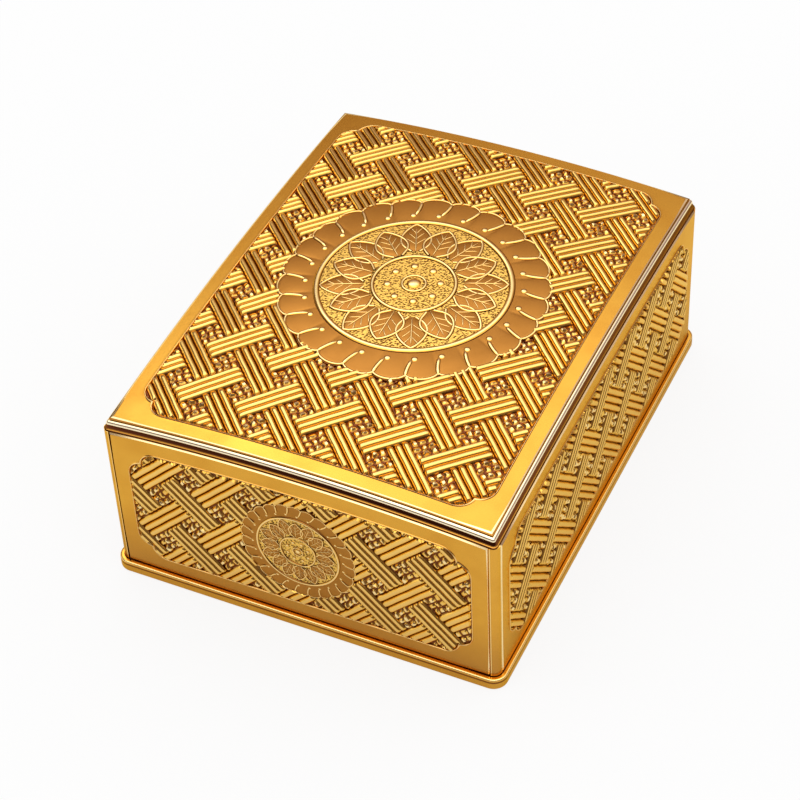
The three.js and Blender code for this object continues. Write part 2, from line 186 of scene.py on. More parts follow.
class Nodes:
    """A node tree whose nodes are made one call at a time. Place is where its textures look."""

    def __init__(self, tree, coordinates):
        self.tree = tree
        self.place = self.node("ShaderNodeTexCoord", output=coordinates)

    def node(self, kind, settings=None, inputs=None, output=0):
        node = self.tree.nodes.new(kind)
        for key, value in (settings or {}).items():
            setattr(node, key, value)
        for key, value in (inputs or {}).items():
            connect(self.tree, node.inputs[key], value)
        return Value(self.tree, node.outputs[output])

    def part(self, axis):
        """X, Y or Z of the place."""
        return self.node("ShaderNodeSeparateXYZ", None, {0: self.place}, axis)

    def noise(self, scale, detail=2.0, stretch=None):
        """Noise with that many cells to a metre, from about 0 to 1."""
        vector = self.place
        if stretch:
            vector = self.node("ShaderNodeMapping", None, {"Vector": vector, "Scale": stretch})
        inputs = {"Vector": vector, "Scale": scale, "Detail": detail}
        return self.node("ShaderNodeTexNoise", None, inputs, "Fac")

    def step(self, value, low, high):
        """0 below low, 1 above high, smooth between."""
        inputs = {"Value": value, "From Min": low, "From Max": high}
        return self.node("ShaderNodeMapRange", {"interpolation_type": "SMOOTHSTEP"}, inputs)

    def mix(self, factor, first, second):
        """The first colour where factor is 0, the second where it is 1."""
        inputs = dict(zip(MIX_INPUTS, (factor, first, second)))
        return self.node("ShaderNodeMix", {"data_type": "RGBA"}, inputs, MIX_OUTPUT)

    def bump(self, height, strength, distance):
        inputs = {"Height": height, "Strength": strength, "Distance": distance}
        return self.node("ShaderNodeBump", None, inputs, "Normal")


class Finish(Nodes):
    """A material with its shader."""

    def __init__(self, name):
        self.material = bpy.data.materials.new(name)
        self.material.use_nodes = True
        super().__init__(self.material.node_tree, "Object")
        self.shader = self.tree.nodes["Principled BSDF"]

    def set(self, **inputs):
        for key, item in inputs.items():
            connect(self.tree, self.shader.inputs[key.replace("_", " ")], item)
        return self.material


print("node helpers", len(vars(Nodes)))

# %% [markdown]
# ## Gilding
#
# Real gilding is satin and a little uneven. Painted shade turns its creases brown, a painted
# highlight makes its edges pale or almost white, and painted shade darkens it towards the foot.
# A number kept at each point of a mesh, its relief, says which of these it is: 0 in a crease,
# 0.55 on a plain face, 1 on a pale painted highlight and 1.4 on a near-white one. One recipe
# reads it and makes every gold of the box.

# %% Gold finishes
# Relief values: painted shade at 0 in creases, a pale painted highlight at 1, a near-white one at
# 1.4.
CREASE, FACE, EDGE, PAINTED_GLINT = 0.0, 0.55, 1.0, 1.4
GOLD, DEEP_GOLD = (0.75, 0.385, 0.055), (0.69, 0.335, 0.045)
WOVEN_GOLD, DEEP_WOVEN_GOLD = (0.86, 0.505, 0.092), (0.80, 0.45, 0.075)
MATT_GOLD, DEEP_MATT_GOLD = (0.43, 0.185, 0.036), (0.38, 0.16, 0.030)
# Painted shade colours: in creases, and darker and browner towards the foot.
SHADOW_GOLD, PAINTED_FOOT_SHADE = (0.15, 0.040, 0.015), (0.36, 0.150, 0.040)
# Painted highlight colours: pale, and near white.
PALE_GOLD, PAINTED_GLINT_GOLD = (0.97, 0.72, 0.32), (1.0, 0.86, 0.58)
EDGE_TINT = (1.0, 0.82, 0.44, 1.0)  # what gold mirrors at a flat angle
FOOT_SHADE_FROM, FOOT_SHADE_TO = 0.038, 0.004  # metres above the foot


def gilding(name, light, deep, rough, grain, crease=0.42, foot_shade=0.62):
    """Gold in two close tints, painted shade in creases and low down, painted highlights above."""
    finish = Finish(name)
    cloud = finish.noise(60, 3)
    relief = finish.node("ShaderNodeAttribute", {"attribute_name": "relief"}, None, "Fac")
    colour = finish.mix(finish.step(cloud, 0.35, 0.7), light, deep)
    # Painted shade, darker and browner towards the foot.
    unshaded = finish.step(finish.part("Z"), FOOT_SHADE_TO, FOOT_SHADE_FROM)
    colour = finish.mix((1.0 - unshaded) * foot_shade, colour, PAINTED_FOOT_SHADE)
    # Painted shade in creases, then pale and near-white painted highlights on high relief.
    colour = finish.mix(finish.step(relief, CREASE, crease), SHADOW_GOLD, colour)
    colour = finish.mix(finish.step(relief, 0.62, 0.98), colour, PALE_GOLD)
    colour = finish.mix(finish.step(relief, 1.02, 1.35), colour, PAINTED_GLINT_GOLD)
    fine = finish.noise(5200, 1)
    roughness = rough + (cloud - 0.5) * 0.10 + (fine - 0.5) * 0.06
    normal = finish.bump(fine, grain, 0.00006)
    return finish.set(
        Base_Color=colour, Metallic=1.0, Roughness=roughness, Normal=normal, Specular_Tint=EDGE_TINT
    )


satin = gilding("gilt_satin", GOLD, DEEP_GOLD, 0.25, 0.2)
polished = gilding("gilt_polished", GOLD, GOLD, 0.14, 0.05)
moulded = gilding("gilt_moulded", GOLD, DEEP_GOLD, 0.20, 0.1, foot_shade=0.0)
woven = gilding("gilt_woven", WOVEN_GOLD, DEEP_WOVEN_GOLD, 0.18, 0.08, 0.36, 0.15)
matt = gilding("gilt_matt", MATT_GOLD, DEEP_MATT_GOLD, 0.33, 0.3, foot_shade=0.2)
print([m.name for m in (satin, polished, moulded, woven, matt)])

# %% [markdown]
# The ground of the rosette is stippled by hand with a round punch. The cells of a Voronoi texture
# give the punch marks, with painted shade in their bottoms, and a cloud of noise leaves some of
# them out.

# %% Stippled gold
STIPPLE_GOLD, PIT_SHADE_GOLD = (0.88, 0.55, 0.12), (0.16, 0.06, 0.015)
MARKS_TO_A_METRE = 1250.0


def stippled_gold():
    finish = Finish("gilt_stippled")
    inputs = {"Vector": finish.place, "Scale": MARKS_TO_A_METRE}
    from_mark = finish.node("ShaderNodeTexVoronoi", None, inputs, "Distance")
    cloud = finish.noise(900, 2)
    pit = (1.0 - finish.step(from_mark, 0.20, 0.58)) * finish.step(cloud, 0.15, 0.45)
    # Painted shade in the punch marks.
    colour = finish.mix(pit, STIPPLE_GOLD, PIT_SHADE_GOLD)
    normal = finish.bump(1.0 - pit + cloud * 0.5, 0.7, 0.0002)
    return finish.set(
        Base_Color=colour, Metallic=1.0, Roughness=0.34, Normal=normal, Specular_Tint=EDGE_TINT
    )


stipple = stippled_gold()
print(stipple.name)

# %% [markdown]
# ## Lacquer, cloth and felt
#
# The grain of the lacquered wood is noise drawn out along the boards, and it only just shows. The
# lining's threads are three sets of fine bands, and the felt is noise at the size of fibres.

# %% Lacquer, cloth and felt


def lacquered_wood():
    finish = Finish("lacquer")
    grain = finish.noise(700, 4, (0.12, 0.12, 1.0))
    dark, light = (0.022, 0.006, 0.004), (0.045, 0.013, 0.008)
    colour = finish.mix(finish.step(grain, 0.3, 0.75), dark, light)
    normal = finish.bump(grain, 0.08, 0.0002)
    return finish.set(Base_Color=colour, Roughness=0.16 + grain * 0.14, Normal=normal)


def woven_cloth():
    finish = Finish("lining_cloth")
    bands = []
    for axis in ("X", "Y", "Z"):
        settings = {"wave_type": "BANDS", "bands_direction": axis}
        inputs = {"Vector": finish.place, "Scale": 260.0}
        bands.append(finish.node("ShaderNodeTexWave", settings, inputs, "Fac"))
    threads = (bands[0] + bands[1] + bands[2]) * 0.33
    cloud = finish.noise(140, 3)
    dark, red, faded = (0.10, 0.006, 0.014), (0.27, 0.02, 0.04), (0.16, 0.012, 0.025)
    colour = finish.mix(threads, dark, red)
    colour = finish.mix(finish.step(cloud, 0.4, 0.8) * 0.3, colour, faded)
    normal = finish.bump(threads + cloud * 0.3, 0.35, 0.0002)
    return finish.set(Base_Color=colour, Roughness=0.85, Sheen_Weight=0.35, Normal=normal)


def pressed_felt():
    finish = Finish("green_felt")
    fibres = finish.noise(2600, 6)
    colour = finish.mix(fibres, (0.008, 0.022, 0.010), (0.028, 0.060, 0.030))
    normal = finish.bump(fibres, 0.6, 0.0003)
    return finish.set(Base_Color=colour, Roughness=0.97, Sheen_Weight=0.5, Normal=normal)


lacquer, cloth, felt_finish = lacquered_wood(), woven_cloth(), pressed_felt()
print([m.name for m in (lacquer, cloth, felt_finish)])

# %% [markdown]
# ## Turning numbers into pieces
#
# One function makes a Blender object of points and faces, gives it its finish, lets it ride on its
# body and hides the engineering solids it stands for.

# %% Making a piece


def piece(name, points, faces, relief, material, stands_for=(), slot="satin_gilt", body="cover",
          sharp=38):
    """A named object. Edges sharper than sharp degrees stay crisp."""
    mesh = bpy.data.meshes.new(name)
    points = np.asarray(points, dtype=np.float64) * 0.001
    mesh.from_pydata(points.tolist(), [], [list(map(int, face)) for face in faces])
    mesh.materials.append(material)
    mesh.shade_smooth()
    mesh.set_sharp_from_angle(angle=math.radians(sharp))
    layer = mesh.attributes.new("relief", "FLOAT", "POINT")
    layer.data.foreach_set("value", (np.zeros(len(points)) + relief).astype(np.float32))
    mesh.validate()
    thing = bpy.data.objects.new(name, mesh)
    bpy.context.scene.collection.objects.link(thing)
    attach(thing, body)
    if stands_for:
        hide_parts(*stands_for)
    print(name, len(mesh.vertices), "points")
    return thing


def merged(skins):
    """Several skins as one. Each is its points, its faces and its relief."""
    points, faces, relief = [], [], []
    for some, some_faces, tone in skins:
        first = sum(map(len, points))
        faces += [[i + first for i in face] for face in some_faces]
        points.append(some)
        relief.append(np.zeros(len(some)) + tone)
    return np.concatenate(points), faces, np.concatenate(relief)


print("relief of a plain face", FACE)

# %% [markdown]
# Every skin is a grid of points: rings stacked into a moulding, or the lines of a weave.

# %% Skins
OVER = [0, 3, 2, 1]  # a quad's corners when it is turned over


def grid(rows, columns, join_rows=0, join_columns=0, first=0):
    """The point numbers of a grid. A join repeats the first row or column after the last."""
    ids = first + np.arange(rows * columns).reshape(rows, columns)
    return np.pad(ids, ((0, join_rows), (0, join_columns)), "wrap")


def quads(ids):
    return np.stack([ids[:-1, :-1], ids[1:, :-1], ids[1:, 1:], ids[:-1, 1:]], -1).reshape(-1, 4)


def stacked(rings, closed=False, cap=True):
    """Points and faces through rings of equal count. Closed joins the last ring to the first."""
    ids = grid(len(rings), len(rings[0]), int(closed), 1)
    faces = quads(ids)[:, OVER].tolist()
    if cap and not closed:
        faces += [ids[0, -2::-1], ids[-1, :-1]]
    return np.concatenate(rings), faces


print("quads of a 3 by 3 grid", len(quads(grid(3, 3))))

# %% [markdown]
# ## Mouldings
#
# A moulding is a section swept round a rectangle with rounded corners. Blender could bevel a curve,
# but here each point of the section has its own relief, and the rim's lines follow the crown.

# %% Rectangles, fillets and sweeps
CORNERS = [((1, -1), -90), ((1, 1), 0), ((-1, 1), 90), ((-1, -1), 180)]  # sides and first angle


def circle(angles):
    return np.column_stack([np.cos(angles), np.sin(angles)])


def joined(corners, along):
    """A closed line through corner lines, with points on the sides between them too."""
    out = []
    for line, following in zip(corners, corners[1:] + corners[:1]):
        out += [line, np.linspace(line[-1], following[0], along, endpoint=False)[1:]]
    return np.concatenate(out)


def rounded_rectangle(half_x, half_y, radius, arc=10, along=40):
    """A closed line, counter-clockwise."""
    middle = np.array([half_x - radius, half_y - radius])
    turns = [(sides, np.radians(start + 90 * np.arange(arc + 1) / arc)) for sides, start in CORNERS]
    return joined([middle * sides + radius * circle(a) for sides, a in turns], along)


def filleted(section, radius, steps=4):
    """A closed section whose corners are rounded by short curves."""
    section = np.asarray(section, dtype=float)
    out = []
    for before, at, after in zip(np.roll(section, 1, 0), section, np.roll(section, -1, 0)):
        first, second = before - at, after - at
        back, ahead = np.hypot(*first), np.hypot(*second)
        reach = min(radius, 0.45 * back, 0.45 * ahead)
        start, end = at + first / back * reach, at + second / ahead * reach
        for t in np.arange(steps + 1) / steps:
            out.append((1 - t) ** 2 * start + 2 * t * (1 - t) * at + t ** 2 * end)
    return np.array(out)


def swept(section, radius, base, crowned):
    """A moulding from a closed section of (inset, height, relief)."""
    rings = []
    for inset, height, _ in section:
        turn = max(radius - inset, 0.25)
        line = rounded_rectangle(HALF_WIDTH - inset, HALF_DEPTH - inset, turn)
        lift = crown(*line.T) if crowned else 0.0
        rings.append(np.column_stack([line, np.full(len(line), base + height) + lift]))
    return *stacked(rings, closed=True), np.repeat([row[2] for row in section], len(rings[0]))


print("points round the box", len(rounded_rectangle(HALF_WIDTH, HALF_DEPTH, CORNER_RADIUS)))

# %% [markdown]
# The rim has a thin fillet on the walls, a hollow with painted shade, and a round bead with a
# near-white painted highlight on its outer side and painted shade behind.

# %% The beaded rim
BEAD_INSET, BEAD_HEIGHT, BEAD_WIDE, BEAD_HIGH = 2.7, 2.35, 1.05, 1.02
RIM_BACK, RIM_TOP, RIM_RADIUS = 5.2, 3.4, 2.6
# Painted shade on the fillet and, deepest, in the hollow.
FILLET_AND_HOLLOW = [
    (0.7, GAP, CREASE), (0.7, 0.4, CREASE), (0.78, 0.48, 0.10), (1.05, 0.5, 0.26),
    (1.12, 0.56, 0.30), (1.14, 0.9, 0.12), (1.2, 1.05, 0.0), (1.75, 1.95, 0.04),
]


def bead_point(angle):
    """Inset, height and relief at an angle from the bead's outer side over its top."""
    # Near-white painted highlight outside, pale one on top, painted shade under and behind.
    tone = PAINTED_GLINT if angle < 1.5 else EDGE if angle < 1.75 else CREASE
    height = BEAD_HEIGHT + BEAD_HIGH * math.sin(angle)
    return BEAD_INSET - BEAD_WIDE * math.cos(angle), height, 0.2 if angle < -0.3 else tone


bead = [bead_point(angle) for angle in np.radians(np.arange(-40, 151, 10))]
behind = [(3.9, RIM_TOP, CREASE), (RIM_BACK, RIM_TOP, CREASE)]
rim_section = [(RIM_BACK, GAP, CREASE), *FILLET_AND_HOLLOW, *bead, *behind]
rim_skin = swept(rim_section, RIM_RADIUS, SHOULDER, True)
piece("rim", *rim_skin, polished, ["rim_moulding"], "polished_gilt")

# %% [markdown]
# The plinth is a flat band with rounded edges and a scratch line round its side. Its side gets
# painted shade, darker in the scratch line, and its ledge a painted highlight at the outer edge
# and painted shade in the joint.

# %% The plinth
PLINTH_REACH, PLINTH_TOP, PLINTH_BACK = 1.7, 5.1, 6.2
PLINTH_ROUND, PLINTH_RADIUS = 0.85, 3.7


# Painted shade on the side, scratch line and joint; painted highlight at the ledge's edge.
def plinth_tone(inset, height):
    if height < 4.2:
        return 0.08 if height > 3.3 and inset < 0 else 0.30
    if inset < -0.2:
        return EDGE if 0.05 < inset + PLINTH_REACH < 0.5 else 0.64
    return FACE if inset > 1 else CREASE


outer = -PLINTH_REACH
corners = [(PLINTH_BACK, GAP), (outer, GAP), (outer, PLINTH_TOP), (PLINTH_BACK, PLINTH_TOP)]
low_back, low_front, high_front, high_back = np.split(filleted(corners, PLINTH_ROUND, 5), 4)
scratch = [(outer, 3.2), (outer, 3.45), (outer + 0.06, 3.8), (outer, 4.1)]
ledge = [(inset, PLINTH_TOP) for inset in (-0.3, -0.15, 0.3, 0.5, 1.1)]
plinth_line = [*low_back, *low_front, *scratch, *high_front, *ledge, *high_back]
plinth_section = [(inset, height, plinth_tone(inset, height)) for inset, height in plinth_line]
plinth_skin = swept(plinth_section, PLINTH_RADIUS, 0.0, False)
piece("plinth", *plinth_skin, moulded, ["plinth_moulding"], "polished_gilt", "base")

# %% [markdown]
# ## The lobed outline
#
# Each pressed field ends in two round lobes at every corner, an outline that Japanese and Chinese
# joiners have long used for panels. Rays carry its points out to the plate's own edge, so that the
# border can be drawn as rings between the two.

# %% The outline of a field


def lobed_corner(radius, steps=9):
    """From the upright side to the level one, in a corner whose tip is at (0, 0)."""
    lobe = radius * circle(np.linspace(0, math.pi / 2, steps))
    first, second = lobe + (-radius, -2 * radius), lobe + (-2 * radius, -radius)
    return np.concatenate([first[:-1], [(-radius, -radius)], second[1:]])


def field_outline(half_s, low, high, radius, along=30):
    """A closed line, counter-clockwise."""
    corners = []
    for (side_s, side_t), _ in CORNERS:
        tip = (side_s * half_s, high if side_t > 0 else low)
        line = tip + lobed_corner(radius) * (side_s, side_t)
        corners.append(line if side_s * side_t > 0 else line[::-1])
    return joined(corners, along)


def plate_edge(outline, half_s, low, high, reach):
    """The outline's points moved out to the plate's edge, on rays that start reach inside it."""
    hubs = np.clip(outline, (reach - half_s, low + reach), (half_s - reach, high - reach))
    ray = outline - hubs
    return hubs + ray * (reach / np.abs(ray).max(1))[:, None]


print("points of a corner", len(lobed_corner(SIDE_LOBE)))

# %% [markdown]
# ## The plates' borders
#
# A border is the smooth frame between a plate's edge and its pressed field. Its rings run from the
# back, with painted shade in the gap, over the rounded outer edge with its painted highlight line,
# to the field, and end in the thin raised lip that the press leaves, whose top gets a pale painted
# highlight and whose inner side gets painted shade. The upper edge of a wall's plate arches with
# the crown.

# %% Borders
# The last number is the relief of the painted highlight line on the rounded edge.
LIP_WIDTH, LIP_HEIGHT, PAINTED_GLINT_LINE = 0.55, 0.34, 1.15


class Panel:
    """One plate: its outlines, and how its top arches."""

    def __init__(self, half_s, low, high, border, lobe, place, arch=0.0, span=1.0, back=-1.0):
        self.low, self.high, self.place = low, high, place
        self.arch, self.span, self.back, self.border = arch, span, back, border
        self.inner = field_outline(half_s - border, low + border, high - border, lobe)
        self.outer = plate_edge(self.inner, half_s, low, high, border + 2 * lobe)

    def bent(self, points):
        """The points once the plate's upper edge is arched."""
        s, t = points.T
        share = (t - self.low) / (self.high - self.low)
        lift = self.arch * (1 - (s / self.span) ** 2) * np.clip(share, 0, 1)
        return np.column_stack([s, t + lift])

    def ring(self, share, h):
        """The line a share of the way in from the outer edge, at height h."""
        s, t = self.bent(self.outer + (self.inner - self.outer) * share).T
        return np.column_stack(self.place(s, t, np.full_like(s, h)))

    def border_skin(self, width, depth, seam):
        """Width and depth are the rounded edge's. Seam is how far in it starts to rise."""
        edge, lip = width / self.border, LIP_WIDTH / self.border
        # Painted shade on the side in the gap, then a painted highlight line on the rounded edge.
        rows = [(0, self.back, 0.2), (0, -depth, 0.2), (edge * seam, -depth * (1 - seam), 0.1)]
        rows += [(edge * (seam + 0.1), -depth * (0.9 - seam), PAINTED_GLINT_LINE)]
        rows += [(edge * 0.9, -depth * 0.1, PAINTED_GLINT_LINE), (edge, 0, FACE)]
        rows += [(share, 0, FACE) for share in np.linspace(edge * 1.3, 1 - 1.6 * lip, 7)]
        # The lip's top gets a pale painted highlight, and its inner side painted shade.
        for k in np.linspace(0.0, 0.85, 5):
            swell = math.sin(math.pi * k)
            rows.append((1 - lip * (1 - k), LIP_HEIGHT * swell + 0.02, FACE + 0.3 * swell))
        rows += [(1 + lip * 0.15, -0.3, CREASE), (1 + lip * 0.15, self.back, CREASE)]
        rings = [self.ring(share, h) for share, h, _ in rows]
        return *stacked(rings, closed=True), np.repeat([row[2] for row in rows], len(rings[0]))


half_s, half_t = HALF_WIDTH - TOP_INSET, HALF_DEPTH - TOP_INSET
top_sizes = (half_s, -half_t, half_t, TOP_BORDER, TOP_LOBE)
panels = {"top": Panel(*top_sizes, on_top, back=TOP_SEAT - TOP_FACE)}
short, long = (CROWN_ACROSS, HALF_WIDTH), (CROWN_ALONG, HALF_DEPTH)
walls = {
    "front": (on_front, *short), "back": (on_back, *short),
    "left": (on_left, *long), "right": (on_right, *long),
}
for name, (place, arch, half) in walls.items():
    wall_sizes = (half - CORNER_RADIUS, COVER_BOTTOM, SHOULDER, SIDE_BORDER, SIDE_LOBE)
    panels[name] = Panel(*wall_sizes, place, arch, half)
for name, panel in panels.items():
    rounded_edge = (0.62, 0.34, 0.34) if name == "top" else (0.36, 0.62, 0.10)
    skin = panel.border_skin(*rounded_edge)
    piece(f"{name}_border", *skin, satin, [f"{name}_plate"], sharp=20)

# %% [markdown]
# ## The woven pattern
#
# The pattern copies a basket of narrow strands laid at 45 degrees. It repeats after twelve strands,
# in four bands of three. In both directions three strands float side by side over nine others and
# dip under three. The squares between them are plain weave, every crossing a little different. A
# displaced plane would blur the edges or need millions of points, so the heights are worked out at
# seven places across each strand, on a grid along the strands.

# %% Heights of the weave
PITCH = 23.5  # of the repeat, measured along a plate's side
ROOT_TWO = math.sqrt(2)
STRANDS, BAND = 12, 3
STRAND = PITCH / ROOT_TWO / (STRANDS / 2)
GROOVE = -0.5
PLACES = np.array([GROOVE, -0.42, -0.31, -0.17, 0.17, 0.31, 0.42])
NARROW, WIDE = 1.35, 0.95  # how the squares' strands differ in width, as shares


def band(k):
    return (k % STRANDS) // BAND


def in_squares(k, m):
    return (band(k) % 2 == 1) & (band(m) % 2 == 1)


def runs_along_u(k, m):
    """True where the strand along u lies on top of the crossing in column k and row m."""
    column_even, row_even = band(k) % 2 == 0, band(m) % 2 == 0
    plain_weave = (k + m) % 2 == 1
    cases = [column_even & row_even, row_even, column_even]
    return np.select(cases, [band(k) != band(m), True, False], plain_weave)


def across(place):
    """Section of a strand: a round top between steep grooves."""
    return np.interp(np.abs(place), [0.0, 0.17, 0.31, 0.42, 0.5], [1.0, 0.975, 0.78, 0.22, 0.0])


def unevenness(k, m):
    """How the crossings of the squares differ, as in hand-chased work: 0.5 to 1."""
    wave = np.sin(k * 12.9898 + m * 78.233) * 43758.5453
    return 0.5 + 0.5 * (wave - np.floor(wave))


def along_strand(place, goes_on_ahead, goes_on_behind):
    """1 where the strand runs on, and its rounded end where it dips."""
    return np.where(np.where(place > 0, goes_on_ahead, goes_on_behind), 1.0, across(place))


def crossing(k, m, u, v):
    """Height, from 0 to 1, at the place (u, v) inside one crossing."""
    over, squares = runs_along_u(k, m), in_squares(k, m)
    u = np.clip(u * np.where(squares, np.where(over, WIDE, NARROW), 1.0), -0.5, 0.5)
    v = np.clip(v * np.where(squares, np.where(over, NARROW, WIDE), 1.0), -0.5, 0.5)
    over_u = across(v) * along_strand(u, runs_along_u(k + 1, m), runs_along_u(k - 1, m))
    over_v = across(u) * along_strand(v, ~runs_along_u(k, m + 1), ~runs_along_u(k, m - 1))
    height = np.where(over, over_u, over_v)
    lean = 2 * math.pi * unevenness(m, k)
    tilt = 1 + 0.5 * (u * np.cos(lean) + v * np.sin(lean))
    return np.where(squares, height * unevenness(k, m) * tilt, height)


print("strand", round(STRAND, 3), "mm")

# %% [markdown]
# A point in a groove belongs to two or four crossings and takes the mean of their heights. Chased
# strands are never quite straight, so the grid drifts a little.

# %% The grid of the weave
GROOVE_CUT = 0.15  # how much deeper the meeting of two grooves is
SQUARES_DRIFT, FLOATS_DRIFT = 0.11, 0.012  # shares of a strand


def strand_lines(low, high):
    """Grid lines between two coordinates: each with its strand, its place across it and where."""
    first, last = math.floor(low / STRAND + 1.5), math.ceil(high / STRAND + 1.5)
    strand = np.repeat(np.arange(first, last), len(PLACES))
    place = np.tile(PLACES, last - first)
    return strand, place, (strand - 1 + place) * STRAND


def weave_heights(k, m, u, v):
    height = np.zeros(k.shape)
    for last_k in (0, 1):
        for last_m in (0, 1):
            u_groove, v_groove = (u == GROOVE) & (last_k == 1), (v == GROOVE) & (last_m == 1)
            u_there, v_there = np.where(u_groove, 0.5, u), np.where(v_groove, 0.5, v)
            height += 0.25 * crossing(k - u_groove, m - v_groove, u_there, v_there)
    return height - GROOVE_CUT * ((u == GROOVE) & (v == GROOVE))


def drifted(k, m, u, v):
    """The grid's points in the plate's own s and t, a little out of line."""
    a, b = u / STRAND, v / STRAND
    drift = STRAND * np.where(in_squares(k, m), SQUARES_DRIFT, FLOATS_DRIFT)
    u = u + drift * np.sin(1.9 * b + 1.3 * np.sin(0.7 * a))
    v = v + drift * np.sin(1.7 * a + 1.3 * np.sin(0.8 * b))
    return np.column_stack([((u - v) / ROOT_TWO).ravel(), ((u + v) / ROOT_TWO).ravel()])


print("lines in 10 mm", len(strand_lines(0, 10)[0]))

# %% [markdown]
# The grid is cut off at the field's outline and at the roundel. Its edge points are moved onto the
# outline and pressed down under the border's lip.

# %% Cutting the weave to its field
FAR_OUT = 9.0


def nearest_on(line, points):
    """The nearest spot of a closed line, and how far outside it each point lies."""
    best, spot = np.full(len(points), np.inf), np.zeros_like(points)
    inside = np.zeros(len(points), dtype=bool)
    s, t = points.T
    for start, end in zip(line, np.roll(line, -1, 0)):
        side = end - start
        share = np.clip(((points - start) @ side) / max(side @ side, 1e-12), 0, 1)
        foot = start + share[:, None] * side
        distance = np.hypot(*(points - foot).T)
        closer = distance < best
        best[closer], spot[closer] = distance[closer], foot[closer]
        if start[1] != end[1]:
            meets = side[0] * (t - start[1]) / side[1] + start[0]
            inside ^= ((start[1] > t) != (end[1] > t)) & (s < meets)
    return spot, np.where(inside, -best, best)


def to_field_edge(flat, outline, hole):
    """The same for the field's edge or the roundel's, whichever is nearer."""
    near = ((flat > outline.min(0) - 1) & (flat < outline.max(0) + 1)).all(1)
    spot, outside = np.zeros_like(flat), np.full(len(flat), FAR_OUT)
    spot[near], outside[near] = nearest_on(outline, flat[near])
    if hole:
        *middle, radius = hole
        ray = flat - middle
        far = np.hypot(*ray.T)
        in_hole = radius - far > outside
        out = ray[in_hole] / np.maximum(far[in_hole], 1e-6)[:, None]
        spot[in_hole] = middle + out * radius
        outside = np.maximum(outside, radius - far)
    return spot, outside


def open_edge(faces, count):
    """The points on the open edge of some quads, when there are count points."""
    sides = np.sort(np.stack([faces, np.roll(faces, -1, 1)], -1).reshape(-1, 2), 1)
    codes, uses = np.unique(sides[:, 0] * count + sides[:, 1], return_counts=True)
    once = codes[uses == 1]
    return np.unique(np.concatenate([once // count, once % count]))


print("open edge of 4 quads", len(open_edge(quads(grid(3, 3)), 9)), "points")

# %% [markdown]
# The floats get a pale painted highlight on their tops only, while the squares are painted pale
# over much of their surface, and both get painted shade in their grooves. So each of the two has
# its own scale from height to relief.

# %% Weaving the fields
WEAVE_FOOT, WEAVE_TOP = -0.3, 0.9
# Painted shade in the grooves and pale painted highlights on the tops.
FLOATS_TONE = ([0.0, 0.15, 0.4, 0.7, 0.97, 1.0], [CREASE, 0.05, 0.36, 0.55, 0.78, 0.66])
SQUARES_TONE = ([0.0, 0.12, 0.3, 0.5, 0.8], [CREASE, 0.05, 0.5, 0.8, 1.0])
ROUNDEL_SHARE = 0.955  # how much of a roundel's radius the weave leaves free


def weave(name, panel, origin, hole=None):
    """The woven relief of one field. The origin is where its pattern starts."""
    outline = panel.bent(panel.inner)
    (s_low, t_low), (s_high, t_high) = outline.min(0) - origin, outline.max(0) - origin
    k, u_place, u = strand_lines((s_low + t_low) / ROOT_TWO - 2, (s_high + t_high) / ROOT_TWO + 2)
    m, v_place, v = strand_lines((t_low - s_high) / ROOT_TWO - 2, (t_high - s_low) / ROOT_TWO + 2)
    k, m = np.meshgrid(k, m, indexing="ij")
    height = weave_heights(k, m, *np.meshgrid(u_place, v_place, indexing="ij")).ravel()
    flat = drifted(k, m, *np.meshgrid(u, v, indexing="ij")) + origin
    spot, outside = to_field_edge(flat, outline, hole)
    faces = quads(grid(*k.shape))
    faces = faces[outside[faces].mean(1) < 0]
    edge = open_edge(faces, k.size)
    flat[edge], height[edge] = spot[edge], 0.0
    used = np.unique(faces)
    renumber = np.zeros(k.size, dtype=int)
    renumber[used] = np.arange(len(used))
    height, squares = height[used], in_squares(k, m).ravel()[used]
    lift = WEAVE_FOOT + height * (WEAVE_TOP - WEAVE_FOOT)
    points = np.column_stack(panel.place(*flat[used].T, lift))
    tone = np.where(squares, np.interp(height, *SQUARES_TONE), np.interp(height, *FLOATS_TONE))
    piece(name, points, renumber[faces], tone, woven, sharp=45)


top_hole = (0.0, ROUNDEL_BACKSET, ROUNDEL * ROUNDEL_SHARE)
front_hole = (0.0, FRONT_MIDDLE, SMALL_ROUNDEL * ROUNDEL_SHARE)
fields = {
    "top": ((13.1, 12.7), top_hole), "front": ((5.5, 45.6), front_hole),
    "right": ((8.6, 45.4), None), "left": ((8.6, 45.4), None), "back": ((5.5, 45.6), None),
}
for name, (origin, hole) in fields.items():
    weave(f"{name}_weave", panels[name], np.array(origin), hole)

# %% [markdown]
# ## The rosette
#
# The roundel is a lotus rosette of a common kind: a border of small lobes parted by ribs, a ring,
# eight petals over eight more, and a seed pod. Most of it is half-round ridges and domes.

# %% Ridges and domes
# Painted shade at a ridge's feet and a pale painted highlight on its crest.
RIDGE_RELIEF = [0.0, 0.12, 0.75, 1.0, 0.75, 0.12, 0.0]


